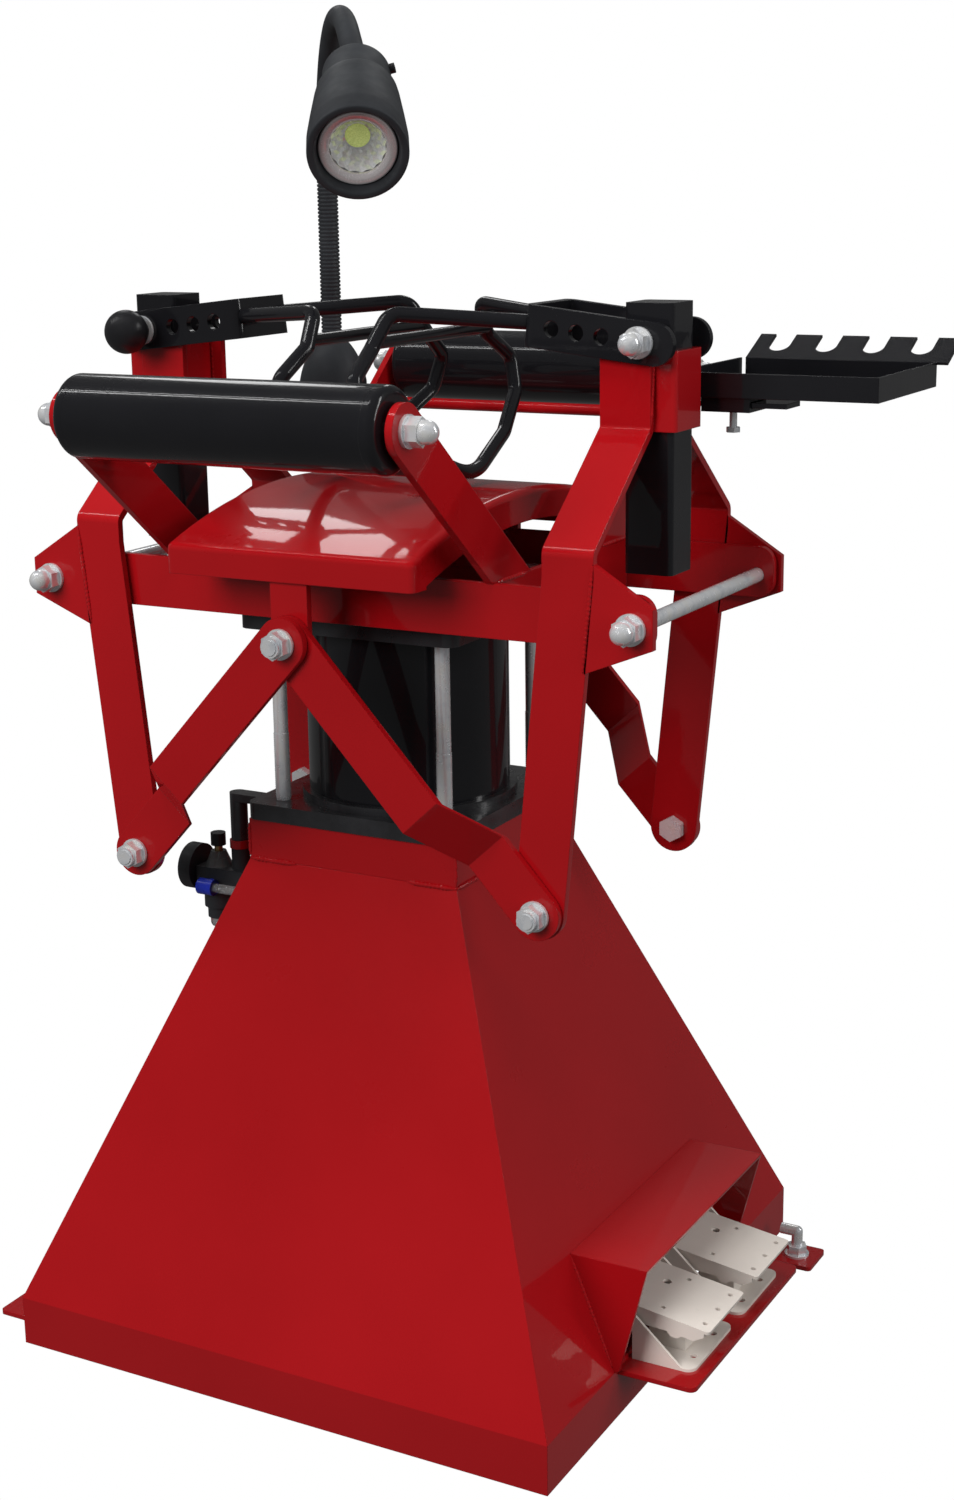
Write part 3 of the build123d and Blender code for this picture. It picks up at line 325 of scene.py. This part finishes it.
def thin_window(name):
    """Flat clear disc: mostly see-through, with a gloss of its own."""
    s = Shader(name)
    s.colour(s.ramp(s.noise(40.0, 3.0), [(0.3, (0.80, 0.83, 0.85)), (0.7, (0.92, 0.94, 0.95))]))
    s.rough(s.noise(90.0, 3.0), 0.03, 0.08)
    s.set(Alpha=0.04)
    return s.material


def phosphor(name):
    """Yellow-green chip of the lamp, softly lit."""
    s = Shader(name)
    dots = s.cells(900.0)
    tint = s.ramp(dots, [(0.1, (0.50, 0.62, 0.10)), (0.8, (0.70, 0.80, 0.22))])
    s.colour(tint)
    s.link(tint, s.bsdf.inputs["Emission Color"])
    s.set(Emission_Strength=0.25)
    s.rough(dots, 0.3, 0.5)
    return s.material


def mirror(name):
    """Bright metal of the lamp's cup, uneven in tone and gloss."""
    s = Shader(name)
    s.colour(s.ramp(s.noise(420.0, 4.0), [(0.3, (0.70, 0.71, 0.73)), (0.7, (0.99, 0.99, 0.99))]))
    s.set(Metallic=0.6)
    s.rough(s.noise(120.0, 4.0), 0.12, 0.24)
    return s.material


RED_DARK, RED_LIGHT = (0.275, 0.0026, 0.0045), (0.325, 0.0040, 0.0065)
BLACK_DARK, BLACK_LIGHT = (0.0045, 0.0045, 0.0055), (0.0085, 0.0085, 0.0100)


def slot_materials():
    """One look for each material slot of the record."""
    return {
        "red_paint": paint("red_paint_look", RED_DARK, RED_LIGHT, 0.9, 0.30),
        "black_paint": paint("black_paint_look", BLACK_DARK, BLACK_LIGHT, 0.85, 0.30, 0.10),
        "black_cover": cast_paint("black_cover_look"),
        "zinc": zinc("zinc_look"),
        "steel": bare_metal("steel_look", (0.42, 0.42, 0.43), (0.66, 0.66, 0.67), 0.12, 0.28, (8, 8, 0.4)),
        "aluminium": bare_metal("aluminium_look", (0.55, 0.55, 0.57), (0.75, 0.75, 0.77), 0.2, 0.36,
                                (4, 4, 0.6)),
        "pedal_paint": powder("pedal_paint_look", (0.60, 0.55, 0.50), (0.70, 0.64, 0.58)),
        "black_plastic": plastic("black_plastic_look", (0.014, 0.015, 0.017), (0.024, 0.026, 0.029),
                                 0.50, 0.64),
        "knob_plastic": plastic("knob_plastic_look", (0.006, 0.006, 0.007), (0.012, 0.012, 0.013),
                                0.30, 0.44, 900.0, 0.12),
        "clear_plastic": clear_plastic("clear_plastic_look", (0.93, 0.95, 0.96)),
        "reflector": mirror("reflector_look"),
        "led": phosphor("led_look"),
        "blue_plastic": plastic("blue_plastic_look", (0.010, 0.020, 0.30), (0.016, 0.035, 0.42), 0.2,
                                0.35, 900.0, 0.08),
        "brass": bare_metal("brass_look", (0.42, 0.28, 0.10), (0.62, 0.45, 0.20), 0.18, 0.34, (6, 6, 0.6)),
        "needle": plastic("needle_look", (0.45, 0.02, 0.01), (0.60, 0.04, 0.02), 0.35, 0.5),
    }


def dress_nodes(looks):
    """Every CAD node gets the material of its slot."""
    slots = {s["node"]: s["material_slot"] for s in frame["record"]["subparts"]}
    for name, node in NODES.items():
        node.data.materials.clear()
        node.data.materials.append(looks[slots[name]])


def recolour(node, look, inside):
    """Second material on the faces of a node whose centres pass a test."""
    mesh = NODES[node].data
    mesh.materials.append(look)
    index = len(mesh.materials) - 1
    for face in mesh.polygons:
        if inside(face.center):
            face.material_index = index


TUBE_START_X = -0.1508              # the clear tube leaves the blue fitting here
KNOB_LOW_Z = 0.4055
RING_Z = (0.4068, 0.4142)
RING_INNER_X = -0.1455


def dress_air_unit(looks):
    """Clear tube in its blue fitting, black knob on its brass stem and red ring under the port."""
    recolour("air_tube", looks["clear_plastic"], lambda at: at.x > TUBE_START_X)
    recolour("drip_knob", looks["knob_plastic"], lambda at: at.z > KNOB_LOW_Z)
    recolour("air_unit", looks["red_paint"],
             lambda at: RING_Z[0] < at.z < RING_Z[1] and at.x > RING_INNER_X)


# ---------------------------------------------------------------- mesh helpers
def make_piece(name, verts, faces, look, body, smooth=True):
    """New mesh object in the part's frame that moves with one CAD body."""
    mesh = bpy.data.meshes.new(name)
    mesh.from_pydata([tuple(v) for v in verts], [], faces)
    mesh.materials.append(look)
    mesh.polygons.foreach_set("use_smooth", [smooth] * len(mesh.polygons))
    bm = bmesh.new()
    bm.from_mesh(mesh)
    bmesh.ops.recalc_face_normals(bm, faces=bm.faces)
    bm.to_mesh(mesh)
    bm.free()
    obj = bpy.data.objects.new(name, mesh)
    bpy.context.scene.collection.objects.link(obj)
    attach(obj, body)
    return obj


def cross_axes(axis):
    """Two unit vectors square to an axis."""
    side = Vector((0, 0, 1)).cross(axis)
    if side.length < 0.01:
        side = Vector((1, 0, 0))
    side.normalize()
    return side, axis.cross(side).normalized()


def rounded(profile, size):
    """Profile of (along, radius) with every inner corner replaced by a short curve."""
    points = [Vector(p) for p in profile]
    out = [points[0]]
    for before, here, after in zip(points, points[1:], points[2:]):
        cut = min(size, (before - here).length / 2.2, (after - here).length / 2.2)
        start = here + (before - here).normalized() * cut
        stop = here + (after - here).normalized() * cut
        for step in range(5):
            t = step / 4
            out.append(start * (1 - t) ** 2 + here * 2 * t * (1 - t) + stop * t * t)
    out.append(points[-1])
    return out


def lathe(name, profile, origin, axis, look, body, steps=96, closed=False):
    """Surface of revolution about an axis; a closed profile makes a ring."""
    side, up = cross_axes(axis)
    verts = []
    for along, radius in profile:
        for i in range(steps):
            turn = 2 * math.pi * i / steps
            verts.append(origin + axis * along + (side * math.cos(turn) + up * math.sin(turn)) * radius)
    rows = len(profile)
    faces = []
    for row in range(rows if closed else rows - 1):
        a, b = row * steps, (row + 1) % rows * steps
        for i in range(steps):
            j = (i + 1) % steps
            faces.append((a + i, a + j, b + j, b + i))
    if not closed:
        faces.append(tuple(range(steps - 1, -1, -1)))
        faces.append(tuple(range((rows - 1) * steps, rows * steps)))
    return make_piece(name, verts, faces, look, body)


# ---------------------------------------------------------------- lamp
HEAD_AXIS = Vector((0.455, -0.752, -0.476)).normalized()
NECK_FOOT = Vector((-0.192, 0.202, 0.790))
NECK_OUT = Vector((0.626, -0.780, 0.0)).normalized()
NECK_TOP_Z, NECK_BEND, NECK_RUN = 0.968, 0.123, 0.053
NECK_INTO_HEAD = 0.016              # length of neck inside the housing
NECK_SLOPE = math.radians(30)       # of the neck where it enters the head
NECK_R = 0.0094
NECK_PITCH = 0.0034                 # of the ribs on the lower neck
REAR_R, MIDDLE_R, RIM_R = 0.0283, 0.0348, 0.0388
HEAD_DEEP = 0.146


def on_bend(centre, turn):
    """Point on the neck's bend, a turn past the end of its upright part."""
    return centre - NECK_OUT * NECK_BEND * math.cos(turn) + Vector((0, 0, NECK_BEND * math.sin(turn)))


def neck_stations():
    """Centre line of the neck: points from the boot to the lamp head."""
    top = NECK_FOOT.copy()
    top.z = NECK_TOP_Z
    centre = top + NECK_OUT * NECK_BEND
    turn = math.pi / 2 + NECK_SLOPE
    way = NECK_OUT * math.cos(NECK_SLOPE) - Vector((0, 0, math.sin(NECK_SLOPE)))
    straight = NECK_TOP_Z - NECK_FOOT.z
    total = straight + NECK_BEND * turn + NECK_RUN + NECK_INTO_HEAD
    count = int(total / NECK_PITCH) * 4
    points = []
    for i in range(count + 1):
        run = total * i / count
        if run < straight:
            points.append(NECK_FOOT + Vector((0, 0, run)))
        elif run < straight + NECK_BEND * turn:
            points.append(on_bend(centre, (run - straight) / NECK_BEND))
        else:
            last = on_bend(centre, turn)
            points.append(last + way * (run - straight - NECK_BEND * turn))
    return points


def lamp_neck(look):
    """Gooseneck, ribbed on its upright part and smooth above; returns where the head starts."""
    points = neck_stations()
    side = NECK_OUT.cross(Vector((0, 0, 1)))
    steps = 40
    verts = []
    for k, point in enumerate(points):
        ahead = (points[min(k + 1, len(points) - 1)] - points[max(k - 1, 0)]).normalized()
        up = side.cross(ahead)
        ribbed = point.z < NECK_TOP_Z - 0.01 and k < len(points) / 2
        radius = NECK_R - (0.0012 if ribbed and k % 4 == 2 else 0.0)
        for i in range(steps):
            turn = 2 * math.pi * i / steps
            verts.append(point + (side * math.cos(turn) + up * math.sin(turn)) * radius)
    faces = [tuple(range(steps - 1, -1, -1)), tuple(range((len(points) - 1) * steps, len(points) * steps))]
    for row in range(len(points) - 1):
        for i in range(steps):
            j = (i + 1) % steps
            a = row * steps
            faces.append((a + i, a + j, a + steps + j, a + steps + i))
    neck = make_piece("gooseneck", verts, faces, look, "lamp")
    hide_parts("lamp_neck")
    return points[-1] - (points[-1] - points[-2]).normalized() * NECK_INTO_HEAD


def lamp_head(looks, back):
    """Turned housing in three steps, and the bright ring that holds its window."""
    outer = [(0.012, 0.002), (0.012, 0.020), (0.019, REAR_R - 0.001), (0.052, REAR_R), (0.056, 0.0325),
             (0.066, MIDDLE_R - 0.0010), (0.100, 0.0368), (0.126, RIM_R), (HEAD_DEEP, RIM_R)]
    inner = [(HEAD_DEEP, RIM_R - 0.0055), (HEAD_DEEP - 0.011, 0.0305), (HEAD_DEEP - 0.013, 0.0255),
             (HEAD_DEEP - 0.033, 0.0240), (HEAD_DEEP - 0.033, 0.002)]
    shell = lathe("lamp_housing", rounded(outer + inner, 0.0018), back, HEAD_AXIS,
                  looks["black_plastic"], "lamp")
    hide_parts("lamp_head")
    ring = [(HEAD_DEEP - 0.0108, 0.0302), (HEAD_DEEP - 0.0080, 0.0302), (HEAD_DEEP - 0.0072, 0.0290),
            (HEAD_DEEP - 0.0090, 0.0222), (HEAD_DEEP - 0.0112, 0.0215), (HEAD_DEEP - 0.0115, 0.0225)]
    lathe("lamp_bezel_ring", ring, back, HEAD_AXIS, looks["bezel"], "lamp", closed=True)


def faceted_reflector(looks, back):
    """Silver cup of small tilted facets."""
    side, up = cross_axes(HEAD_AXIS)
    rows, flats = 6, 30
    verts = []
    for row in range(rows + 1):
        part = row / rows
        radius = 0.0098 + 0.0120 * part
        along = HEAD_DEEP - 0.0290 + 0.0170 * part ** 1.7
        for i in range(flats):
            turn = 2 * math.pi * (i + 0.5 * (row % 2)) / flats
            near = radius * (1.0 + (0.03 if (i + row) % 2 else -0.03))
            verts.append(back + HEAD_AXIS * along + (side * math.cos(turn) + up * math.sin(turn)) * near)
    faces = []
    for row in range(rows):
        for i in range(flats):
            j = (i + 1) % flats
            a, b = row * flats, (row + 1) * flats
            if row % 2:
                faces += [(a + i, a + j, b + j), (a + i, b + j, b + i)]
            else:
                faces += [(a + i, a + j, b + i), (a + j, b + j, b + i)]
    reflector = make_piece("faceted_reflector", verts, faces, looks["reflector"], "lamp", smooth=False)
    wall = reflector.modifiers.new("wall", "SOLIDIFY")
    wall.thickness = 0.0006
    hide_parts("lamp_reflector")


def chip_and_window(looks, back):
    """Yellow light chip at the bottom of the cup and the clear disc in front of it."""
    chip = [(HEAD_DEEP - 0.0298, 0.001), (HEAD_DEEP - 0.0298, 0.0096), (HEAD_DEEP - 0.0280, 0.0096),
            (HEAD_DEEP - 0.0275, 0.0088), (HEAD_DEEP - 0.0270, 0.001)]
    led = lathe("light_chip", chip, back, HEAD_AXIS, looks["led"], "lamp", steps=48)
    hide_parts("lamp_led")
    glass = [(HEAD_DEEP - 0.0106, 0.001), (HEAD_DEEP - 0.0106, 0.0216), (HEAD_DEEP - 0.0094, 0.0216),
             (HEAD_DEEP - 0.0094, 0.001)]
    lens = lathe("lamp_window", glass, back, HEAD_AXIS, looks["window"], "lamp", steps=64)
    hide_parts("lamp_lens")


# ---------------------------------------------------------------- welds and threads
def weld_bead(name, start, stop, radius, body, look):
    """Row of overlapping ripples along a seam, slightly uneven."""
    start, stop = Vector(start), Vector(stop)
    way = (stop - start).normalized()
    side, up = cross_axes(way)
    length = (stop - start).length
    count = max(6, int(length / 0.0011))
    steps = 10
    verts = []
    for k in range(count + 1):
        at = start + way * (length * k / count)
        ends = min(1.0, 0.35 + 4.0 * min(k, count - k) / count)
        size = radius * ends * (1.0 + 0.16 * math.sin(k * 1.9) + rng.uniform(-0.10, 0.10))
        drift = side * rng.uniform(-0.12, 0.12) * radius
        for i in range(steps):
            turn = 2 * math.pi * i / steps
            verts.append(at + drift + (side * math.cos(turn) + up * math.sin(turn)) * size)
    faces = [tuple(range(steps - 1, -1, -1)), tuple(range(count * steps, (count + 1) * steps))]
    for row in range(count):
        for i in range(steps):
            j = (i + 1) % steps
            a = row * steps
            faces.append((a + i, a + j, a + steps + j, a + steps + i))
    return make_piece(name, verts, faces, look, body)


COLLAR_HALF, COLLAR_LOW = 0.098, 0.414
RAIL_TOP = 0.667
CROSS_OUT = 0.147
HOOD_FRONT, HOOD_BACK = -0.127, 0.113
HOOD_BEAD = ((0.2115, 0.136), (0.2480, 0.047))      # x, z of its top and foot
ROLLER_ARM_FOOT, ROLLER_ARM_HALF = 0.091, 0.024
LEG_FACE = 0.130
PLATE_BEAD = ((0.2250, 0.608), (0.2334, 0.688))     # x, z of its bottom and top
# beads by the sleeve, x and y at bottom and top: A is mostly sunk in the leg, B lies on it
SLEEVE_Z = (0.778, 0.828)
SLEEVE_BEAD_A = ((0.2020, 0.0262), (0.2020, 0.0262))
SLEEVE_BEAD_B = ((0.2340, 0.0300), (0.2340, 0.0262))
THREAD_PITCH, THREAD_Z = 0.00175, (0.4630, 0.5200)
TIE_SPACING = 0.077


def add_welds(look):
    """Beads at each corner on collar, roller arms, axle plates and legs, and two on the hood."""
    half, z = COLLAR_HALF, COLLAR_LOW
    foot_a, foot_b = ROLLER_ARM_FOOT - ROLLER_ARM_HALF, ROLLER_ARM_FOOT + ROLLER_ARM_HALF
    low, high = PLATE_BEAD
    for sx, sy in ((1, -1), (-1, -1), (1, 1), (-1, 1)):
        side = "right" if sx > 0 else "left"
        tag = f"{side}_{'front' if sy < 0 else 'rear'}"
        arm = f"arm_{side}"
        beads = [
            ("collar_{}_a", (half, half, z), (half - 0.045, half, z), 0.0022, "stand"),
            ("collar_{}_b", (half, half, z), (half, half - 0.040, z), 0.0022, "stand"),
            ("collar_{}_c", (half, half, z + 0.002), (half, half, z + 0.030), 0.0014, "stand"),
            ("roller_arm_{}", (CROSS_OUT, foot_a, RAIL_TOP), (CROSS_OUT, foot_b, RAIL_TOP), 0.0018, "stand"),
            ("axle_plate_{}", (low[0], LEG_FACE, low[1]), (high[0], LEG_FACE, high[1]), 0.0016, arm),
            ("sleeve_{}_a", (*SLEEVE_BEAD_A[0], SLEEVE_Z[0]), (*SLEEVE_BEAD_A[1], SLEEVE_Z[1]), 0.0016, arm),
            ("sleeve_{}_b", (*SLEEVE_BEAD_B[0], SLEEVE_Z[0]), (*SLEEVE_BEAD_B[1], SLEEVE_Z[1]), 0.0014, arm),
        ]
        for name, start, stop, radius, body in beads:
            at, to = ((sx * p[0], sy * p[1], p[2]) for p in (start, stop))
            weld_bead("weld_" + name.format(tag), at, to, radius, body, look)
    top, foot = HOOD_BEAD
    for tag, y in (("front", HOOD_FRONT), ("rear", HOOD_BACK)):
        weld_bead(f"weld_hood_{tag}", (top[0], y, top[1]), (foot[0], y, foot[1]), 0.0016, "stand", look)


def add_threads(look):
    """Rolled threads on the lower ends of the four tie rods."""
    pitch = THREAD_PITCH
    low, high = THREAD_Z
    turns = int((high - low) / pitch)
    for sx in (-1, 1):
        for sy in (-1, 1):
            outer = []
            for k in range(turns):
                outer += [(k * pitch, 0.00606), (k * pitch + pitch * 0.5, 0.00655)]
            outer.append((turns * pitch, 0.00602))
            ring = outer + [(turns * pitch, 0.0052), (0.0, 0.0052)]
            name = f"thread_{'right' if sx > 0 else 'left'}_{'front' if sy < 0 else 'rear'}"
            foot = Vector((sx * TIE_SPACING, sy * TIE_SPACING, low))
            lathe(name, ring, foot, Vector((0, 0, 1)), look, "stand", steps=32, closed=True)


# ---------------------------------------------------------------- run
LOOKS = slot_materials()
LOOKS["window"] = thin_window("window_look")
LOOKS["bezel"] = bare_metal("bezel_look", (0.74, 0.68, 0.68), (0.92, 0.87, 0.87), 0.18, 0.30, (60, 60, 60))
add_camera()
add_studio()
dress_nodes(LOOKS)
dress_air_unit(LOOKS)
head_back = lamp_neck(LOOKS["black_plastic"])
lamp_head(LOOKS, head_back)
faceted_reflector(LOOKS, head_back)
chip_and_window(LOOKS, head_back)
add_welds(LOOKS["red_paint"])
add_threads(LOOKS["zinc"])
